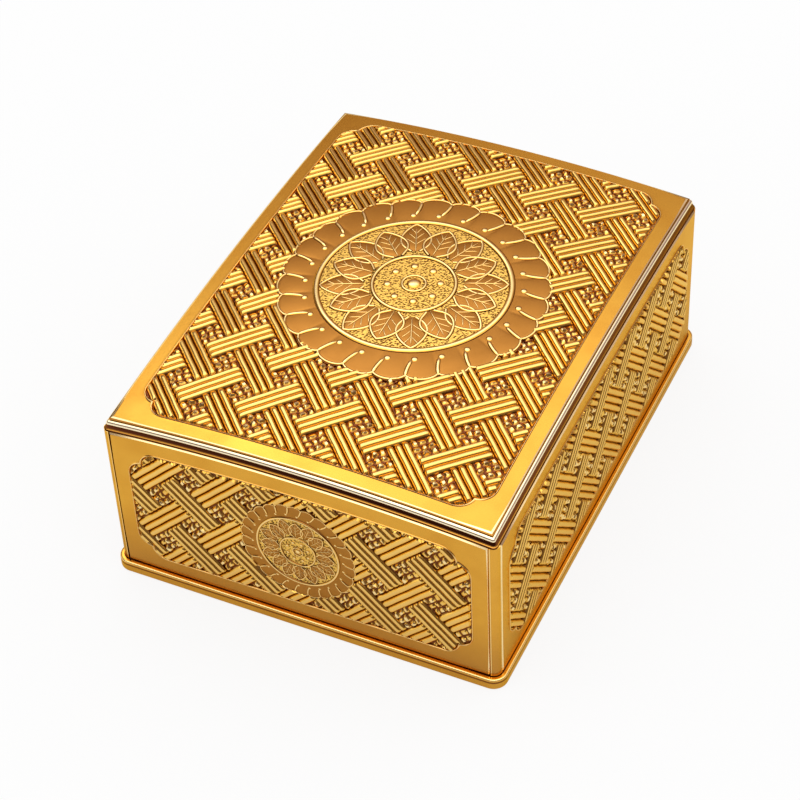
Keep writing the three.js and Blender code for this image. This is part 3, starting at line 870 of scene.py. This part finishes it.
def ridge(line, width, height, lift=0.0, closed=False, taper=False):
    """A half-round ridge along a flat line, as points (s, t, h)."""
    if closed:
        ahead, behind = np.roll(line, -1, 0), np.roll(line, 1, 0)
    else:
        ahead, behind = np.vstack([line[1:], line[-1:]]), np.vstack([line[:1], line[:-1]])
    along = ahead - behind
    along /= np.maximum(np.hypot(*along.T), 1e-9)[:, None]
    normal = np.column_stack([-along[:, 1], along[:, 0]])
    share = np.ones(len(line))
    if taper:
        share = np.clip(np.sin(np.linspace(0.12, math.pi - 0.12, len(line))) * 1.6, 0.15, 1)
    rows = []
    for a in np.linspace(0, math.pi, len(RIDGE_RELIEF)):
        flat = line + normal * (math.cos(a) * width / 2) * share[:, None]
        rows.append(np.column_stack([flat, lift + height * math.sin(a) * share]))
    faces = np.roll(quads(grid(len(line), len(rows), int(closed))), -1, 1)
    return np.stack(rows, 1).reshape(-1, 3), faces, np.tile(RIDGE_RELIEF, len(line))


def dome(centre, radius, height, lift=0.0, sides=14, rings=4):
    """A low dome with painted shade at its foot and a painted highlight on its top."""
    share = np.arange(1, rings + 1) / rings
    points = [[(*centre, lift + height)]]
    for a in share * math.pi / 2:
        ring = centre + radius * math.sin(a) * circle(2 * math.pi * np.arange(sides) / sides)
        points.append(np.column_stack([ring, np.full(sides, lift + height * math.cos(a))]))
    ids = grid(rings, sides, 0, 1, 1)
    faces = [(0, here, following) for here, following in zip(ids[0], ids[0, 1:])]
    relief = np.repeat(1.0 - 0.9 * share ** 2, sides)
    return np.concatenate(points), [*faces, *quads(ids)], np.append(1.0, relief)


print("dome of", len(dome((0, 0), 1, 1)[0]), "points")

# %% [markdown]
# A petal is a pointed leaf shape that swells in the middle. A bright ridge follows its edge, and
# finer ones its veins.

# %% One petal
PETAL_EDGE, MIDDLE_VEIN, SIDE_VEIN = (0.026, 0.5, 0.0), (0.013, 0.35, 0.40), (0.010, 0.28, 0.30)


def petal_line(inner, outer, half_width, steps=16):
    """One side of a petal that points along +t, from its foot to its tip."""
    share = np.linspace(0, 1, steps)
    wide = half_width * np.sin(np.pi * np.clip(share, 0, 1) ** 0.8) ** 0.75
    wide[0], wide[-1] = half_width * 0.25, 0.0
    return np.column_stack([wide, inner + (outer - inner) * share])


def petal_skin(inner, outer, half_width, swell, lift, columns=9):
    points = []
    for wide, t in petal_line(inner, outer, half_width):
        for q in np.linspace(-1, 1, columns):
            rise = swell * (1 - q * q) * min(1.0, wide / half_width + 0.2)
            points.append((wide * q, t, lift + rise))
    return np.array(points), quads(grid(len(points) // columns, columns))[:, OVER]


def petal_ridges(inner, outer, half_width):
    """Each ridge of a petal as its line and its (width, height, lift), in shares."""
    side = petal_line(inner, outer, half_width)
    yield np.concatenate([side, (side * (-1, 1))[::-1][1:]]), PETAL_EDGE
    yield np.linspace((0, inner), (0, outer - 0.04), 8), MIDDLE_VEIN
    q = np.linspace(0, 1, 6)
    for sign in (-1, 1):
        for n in range(3):
            foot = inner + (outer - inner) * (0.22 + 0.2 * n)
            s = sign * half_width * 0.7 * q * (1 - 0.18 * n)
            yield np.column_stack([s, foot + 0.075 * q ** 0.8]), SIDE_VEIN


def turned(points, angle):
    """The same points turned about the middle."""
    c, s = math.cos(angle), math.sin(angle)
    return np.column_stack([points[:, :2] @ np.array([[c, s], [-s, c]]), points[:, 2:]])


print("petal side", len(petal_line(0.2, 0.6, 0.1)), "points")

# %% [markdown]
# The sizes here are shares of the radius, and the heights shares of the relief, so one drawing
# serves the large rosette on the top and the small one on the front.

# %% The rosette's parts
LOBES, PETALS = 26, 8
EDGE_RING, POD, HEART, GROUND = 0.70, 0.30, 0.085, 0.58
RINGS = [(EDGE_RING, 0.05, 0.85), (POD, 0.034, 0.8), (HEART, 0.024, 0.6)]
PETAL_LAYERS = [(0.36, 0.675, 0.11, 0.60, 0.5), (0.325, 0.63, 0.118, 0.78, 0.0)]


def turns(count):
    return 2 * math.pi * np.arange(count) / count


def scalloped_border(foot):
    """The lobes between the roundel's edge and the ring, and the bright line along their edge."""
    angles = turns(LOBES * 16)
    swell = np.abs(np.sin(angles * LOBES / 2))
    edge = 0.952 + 0.045 * swell ** 0.6
    rings = [np.column_stack([circle(angles) * edge[:, None], np.full(len(angles), foot)])]
    for share in np.linspace(0, 1, 14):
        r = edge + (EDGE_RING - edge) * share
        bulge = math.sin(math.pi * min(1, share * 0.9 + 0.12))
        rise = (0.62 + 0.30 * swell ** 0.5 * bulge) * (1.0 if share > 0 else 0.5)
        rings.append(np.column_stack([circle(angles) * r[:, None], rise]))
    # Painted shade along the lobes' outer foot.
    relief = np.repeat([CREASE, 0.15] + [FACE] * 13, len(angles))
    line = circle(angles) * edge[:, None] * 0.985
    return (*stacked(rings, cap=False), relief), ridge(line, 0.022, 0.45, 0.55, closed=True)


def ribs():
    """The ribs between the lobes, each with a small knob at its inner end."""
    share = np.linspace(0, 1, 12)
    for a in turns(LOBES):
        line = circle(a + 0.05 * (1 - share) ** 2) * (0.785 + 0.17 * share)[:, None]
        yield ridge(line, 0.034, 0.7, 0.56, taper=True)
        knob = line[0] + 0.016 * np.array([-math.sin(a), math.cos(a)])
        yield dome(knob, 0.026, 0.6, GROUND)


def petal_layer(petals, bright, inner, outer, wide, lift, shift):
    """Eight petals. Shift turns them by a share of the step between two."""
    skin, faces = petal_skin(inner, outer, wide, 0.45, lift)
    for a in turns(PETALS) + shift * 2 * math.pi / PETALS:
        petals.append((turned(skin, a), faces, FACE))
        for line, (width, height, above) in petal_ridges(inner, outer, wide):
            points, strips, relief = ridge(line, width, height, lift + above, taper=width < 0.02)
            bright.append((turned(points, a), strips, relief))


print(LOBES, "lobes and", 2 * PETALS, "petals")

# %% [markdown]
# The whole rosette adds the stippled ground, three rings, the pod's eight seeds and the heart.
# What has the same finish becomes one piece.

# %% The rosettes


def rosette(name, radius, centre, place, thick):
    lobes, edge_line = scalloped_border(WEAVE_FOOT / thick)
    round_line, level = circle(turns(96)), np.full(96, 0.62)
    rings = [np.column_stack([round_line * r, level]) for r in np.linspace(EDGE_RING, 0.02, 12)]
    ground, petals, bright = (*stacked(rings, cap=False), FACE), [], [edge_line, *ribs()]
    for share, width, height in RINGS:
        bright.append(ridge(round_line * share, width, height, GROUND, closed=True))
    for layer in PETAL_LAYERS:
        petal_layer(petals, bright, *layer)
    seeds = circle(turns(PETALS) + math.pi / PETALS) * 0.19
    bright += [*(dome(seed, 0.030, 0.6, 0.6) for seed in seeds), dome((0, 0), 0.052, 0.7, 0.6)]
    parts = [("lobes", [lobes], matt), ("ground", [ground], stipple), ("petals", petals, matt)]
    for part, skins, finish in (*parts, ("outlines", bright, polished)):
        points, faces, relief = merged(skins)
        spots = np.column_stack(place(*(points * (radius, radius, thick) + (*centre, 0)).T))
        piece(f"{name}_{part}", spots, faces, relief, finish, sharp=50)


rosette("top_rosette", ROUNDEL, (0.0, ROUNDEL_BACKSET), on_top, 0.75)
rosette("front_rosette", SMALL_ROUNDEL, (0.0, FRONT_MIDDLE), on_front, 0.6)

# %% [markdown]
# ## Corner strips
#
# A quarter-round strip closes each upright corner. Its top is cut to the crown, and its two outer
# edges get a pale painted highlight.

# %% Corner strips
STRIP_THICKNESS, STRIP_TONGUE, STRIP_ARC = 1.2, 1.7, 18


def corner_strip(name, sign_x, sign_y):
    reach, inside = CORNER_RADIUS - GAP, CORNER_RADIUS - STRIP_THICKNESS
    first = math.asin(GAP / reach)
    arc = reach * circle(np.linspace(first, math.pi / 2 - first, STRIP_ARC))
    local = [(GAP, -STRIP_TONGUE), (inside, -STRIP_TONGUE), (inside, GAP), *arc, (GAP, inside)]
    middle = np.array([HALF_WIDTH - CORNER_RADIUS, HALF_DEPTH - CORNER_RADIUS])
    line = (middle + local) * (sign_x, sign_y)
    # Pale painted highlight on the two outer edges, painted shade on the tongue.
    show = [CREASE, CREASE, 0.5, 0.4, EDGE] + [FACE] * 14 + [EDGE, 0.4, 0.5]
    if sign_x * sign_y < 0:
        line, show = line[::-1], show[::-1]
    ends = (COVER_BOTTOM, SHOULDER / 2, SHOULDER + crown(*line.T))
    rings = [np.column_stack([line, z + np.zeros(len(line))]) for z in ends]
    relief = np.tile(show, len(rings))
    piece(f"corner_{name}", *stacked(rings), relief, satin, [f"corner_strip_{name}"])


for along, sign_y in (("front", -1), ("back", 1)):
    for side, sign_x in (("left", -1), ("right", 1)):
        corner_strip(f"{along}_{side}", sign_x, sign_y)

# %% [markdown]
# ## Lining, pad and felt
#
# Cloth over card and padding never has a hard edge, so each of these is a rounded form in the
# place of its engineering solid. A cloth simulation would give folds, but this lining is glued
# tight, so rings with a rounded edge are nearer to the real one. Only the floor is padded.

# %% Soft pieces


def cushion(name, node, edge, swell, material, slot, axis=2, detail=14):
    """A rounded slab in a node's box. The face along axis is the one that swells."""
    low, high = (np.array(corner) * 1000 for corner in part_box(node))
    middle, half = (low + high) / 2, (high - low) / 2
    flat_axes = [i for i in range(3) if i != axis]
    flat_half = half[flat_axes]
    edge = min(edge, half[axis] * 0.98, *(flat_half * 0.9))
    line = rounded_rectangle(*flat_half, max(edge * 1.4, 0.3), 5, detail)
    thick = half[axis] - swell
    rings = []
    for a in np.linspace(-math.pi / 2, math.pi / 2, 9):
        shrink = 1 - edge * (1 - math.cos(a)) / flat_half
        side = edge * (1 + math.sin(a)) - thick if a < 0 else thick - edge * (1 - math.sin(a))
        rings.append(np.column_stack([line * shrink, np.full(len(line), side)]))
    for share in (0.93, 0.8, 0.6, 0.35, 0.1):
        rise = swell * 2 * (1 - share ** 2.5)
        rings.append(np.column_stack([line * share, np.full(len(line), thick + rise)]))
    points, faces = stacked(rings)
    out = np.zeros_like(points)
    out[:, [*flat_axes, axis]] = points
    if axis == 1:  # x, z and y turn the other way round
        faces = [face[::-1] for face in faces]
    return piece(name, out + middle, faces, FACE, material, [node], slot, "base", 60)


pad = cushion("floor_cushion", "floor_pad", 1.2, 0.35, cloth, "lining_cloth")
for side, axis in (("front", 1), ("back", 1), ("left", 0), ("right", 0)):
    cushion(f"lining_{side}", f"liner_{side}", 0.3, 0.0, cloth, "lining_cloth", axis)
cushion("felt_sheet", "base_felt", 0.3, 0.0, felt_finish, "green_felt")

# %% [markdown]
# The ceiling's lining bends with the crown. It is two grids, and the lower curls up at its edges.

# %% Ceiling lining
CEILING_INSET, BOARD_TOP, BOARD_THICKNESS, LINING_THICKNESS = 5.4, 3.4, 5.2, 0.8
CURL_REACH, CURL_HEIGHT = 3.0, 0.3


def ceiling():
    half_x, half_y = HALF_WIDTH - CEILING_INSET, HALF_DEPTH - CEILING_INSET
    xs, ys = np.linspace(-half_x, half_x, 31), np.linspace(-half_y, half_y, 41)
    x, y = np.meshgrid(xs, ys, indexing="ij")
    from_edge = np.minimum(half_x - np.abs(x), half_y - np.abs(y))
    curl = CURL_HEIGHT * np.clip(1 - from_edge / CURL_REACH, 0, 1) ** 2
    top = SHOULDER + crown(x, y) + BOARD_TOP - BOARD_THICKNESS - GAP
    sheets = (top, top - LINING_THICKNESS + curl)
    points = np.concatenate([np.stack([x, y, z], -1).reshape(-1, 3) for z in sheets])
    ids = grid(*x.shape)
    upper, lower = quads(ids), quads(ids)[:, ::-1] + ids.size
    edge = np.concatenate([ids[:, 0], ids[-1, 1:], ids[-2::-1, -1], ids[0, -2:0:-1]])
    ahead = np.roll(edge, -1)
    skirt = np.stack([edge + ids.size, ahead + ids.size, ahead, edge], -1)
    faces = np.concatenate([upper, lower, skirt])
    stands_for = ["cover_ceiling_lining"]
    piece("ceiling_cloth", points, faces, FACE, cloth, stands_for, "lining_cloth", sharp=60)


ceiling()

# %% [markdown]
# ## The carcass
#
# The boards keep their engineering shapes. They get the lacquer, and a small bevel.

# %% Lacquered boards
boards = [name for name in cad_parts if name.endswith(("_board", "_wall"))]
for name in boards:
    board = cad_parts[name]
    board.data.materials.clear()
    board.data.materials.append(lacquer)
    bevel = board.modifiers.new("edge", "BEVEL")
    bevel.width, bevel.segments, bevel.limit_method = 0.0004, 2, "ANGLE"
    bevel.angle_limit = math.radians(50)
print(len(boards), "boards lacquered")

# %% [markdown]
# ## The floor
#
# The box stands on a white ground that keeps only a faint shadow. For rays from the camera, and
# for those that metal mirrors, a share of plain white light is mixed into the floor's own colour.

# %% Floor
FLOOR_HALF = 1.2
WHITE, WHITE_SEEN, WHITE_MIRRORED = (1.0, 1.0, 1.0), 0.85, 0.3


def studio_floor():
    corners = [(x * FLOOR_HALF, y * FLOOR_HALF, 0) for (x, y), _ in CORNERS]
    mesh = bpy.data.meshes.new("floor")
    mesh.from_pydata(corners, [], [(0, 1, 2, 3)])
    finish = Finish("floor_white")
    mesh.materials.append(
        finish.set(Base_Color=(0.94, 0.94, 0.94), Roughness=0.9, Specular_IOR_Level=0.0)
    )
    glow = finish.node("ShaderNodeEmission", None, {"Color": WHITE})
    camera_ray, glossy_ray, clear_ray = (
        finish.node("ShaderNodeLightPath", output=f"Is {ray} Ray")
        for ray in ("Camera", "Glossy", "Transmission")
    )
    seen = camera_ray * WHITE_SEEN + (glossy_ray + clear_ray) * WHITE_MIRRORED
    plain = Value(finish.tree, finish.shader.outputs[0])
    both = finish.node("ShaderNodeMixShader", None, {0: seen, 1: plain, 2: glow})
    connect(finish.tree, finish.tree.nodes["Material Output"].inputs["Surface"], both)
    thing = bpy.data.objects.new("floor", mesh)
    bpy.context.scene.collection.objects.link(thing)
    thing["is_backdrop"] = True


studio_floor()
print("floor laid", 2 * FLOOR_HALF, "m wide")

# %% [markdown]
# ## The light
#
# The world is plain white for the camera and for all diffuse light. Gold shows what surrounds it,
# so what it mirrors is a studio, painted on the world for glossy rays alone. It goes from a warm
# grey floor up to a bright ceiling. A light stands low on the left and a soft box high at the back
# on the left, while the far left wall and the front one are darker.

# %% Sky
SKY = [
    (0.0, 0.24), (0.34, 0.24), (0.45, 0.38), (0.54, 0.52), (0.60, 0.78), (0.65, 0.95),
    (0.70, 1.45), (0.78, 1.95), (0.82, 1.8), (0.85, 1.3), (0.91, 2.3), (1.0, 2.8),
]  # height of the mirrored direction, and how bright it is there
SKY_TINT, WARM_TINT, WARM_BELOW = (1.0, 0.97, 0.95), (1.25, 0.92, 1.0), 0.57
SIDE_LIGHT, SOFT_BOX, SIDE_SHADE, FRONT_SHADE = 1.6, 1.4, 0.6, 0.5


def sky():
    """White, and for glossy rays a studio whose parts follow from the ray's direction."""
    world = bpy.data.worlds.new("studio")
    bpy.context.scene.world = world
    world.use_nodes = True
    world.node_tree.nodes.clear()
    studio = Nodes(world.node_tree, "Generated")
    height, left, back = studio.part("Z"), studio.part("X") * -1, studio.part("Y")
    step = studio.step

    ramp = studio.tree.nodes.new("ShaderNodeValToRGB")
    connect(studio.tree, ramp.inputs[0], height)
    for position, _ in SKY[1:-1]:
        ramp.color_ramp.elements.new(position)
    for stop, (position, level) in zip(ramp.color_ramp.elements, SKY):
        tint = WARM_TINT if position < WARM_BELOW else SKY_TINT
        stop.position, stop.color = position, (*(level * share for share in tint), 1)

    side_light = step(left, 0.3, 0.85) * (1.0 - step(height, 0.06, 0.2)) * SIDE_LIGHT
    soft_box = step(left, 0.15, 0.5) * step(height, 0.65, 0.70) * step(back, 0.30, 0.44) * SOFT_BOX
    side_shade = 1.0 - step(left, 0.57, 0.7) * SIDE_SHADE
    low_front = step(back * -1, 0.05, 0.3) * (1.0 - step(height, 0.54, 0.68))
    front_shade = 1.0 - low_front * FRONT_SHADE
    colours = Value(studio.tree, ramp.outputs["Color"])
    shaded = {0: colours, 1: side_shade * front_shade}
    shaded = studio.node("ShaderNodeVectorMath", {"operation": "MULTIPLY"}, shaded)
    lit = {0: shaded, 1: side_light + soft_box}
    lit = studio.node("ShaderNodeVectorMath", {"operation": "ADD"}, lit)
    mirrored = studio.node("ShaderNodeLightPath", output="Is Glossy Ray")
    shine = {"Color": studio.mix(mirrored, WHITE, lit)}
    shine = studio.node("ShaderNodeBackground", None, shine)
    out = studio.tree.nodes.new("ShaderNodeOutputWorld")
    connect(studio.tree, out.inputs["Surface"], shine)


sky()
bpy.context.scene.view_settings.view_transform = "Standard"
bpy.context.scene.view_settings.look = "None"
print("sky made of", len(SKY), "levels")

# %% [markdown]
# ## The camera
#
# The camera's place and directions were worked out from the box's straight edges, so the render
# lies over the photograph.

# %% Camera
FOCAL_LENGTH, SENSOR = 108.77, 36.0
CAMERA_RIGHT = (0.90778851, 0.41775601, -0.03741574)
CAMERA_UP = (-0.26308388, 0.63661095, 0.72492301)
CAMERA_BACK = (0.32666022, -0.6482333, 0.68781298)
CAMERA_PLACE = (0.29106528, -0.59099525, 0.65019212)


def camera():
    data = bpy.data.cameras.new("camera")
    data.sensor_width, data.lens, data.clip_start = SENSOR, FOCAL_LENGTH, 0.01
    thing = bpy.data.objects.new("camera", data)
    bpy.context.scene.collection.objects.link(thing)
    rows = zip(CAMERA_RIGHT, CAMERA_UP, CAMERA_BACK, CAMERA_PLACE)
    thing.matrix_world = Matrix([*rows, (0, 0, 0, 1)])
    bpy.context.scene.camera = thing


camera()
print("camera", FOCAL_LENGTH, "mm")

# %% [markdown]
# ## Both models' sizes
#
# The visual model's box is measured, and both boxes are gathered in one table. The visual
# model has to stay inside the engineering model's box.

# %% Finish
visual_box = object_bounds()
boxes = {"cad": cad_box, "visual": visual_box}
{key: [[float(v) for v in corner] for corner in box] for key, box in boxes.items()}
print("visual", [round(float(v), 4) for corner in visual_box for v in corner])
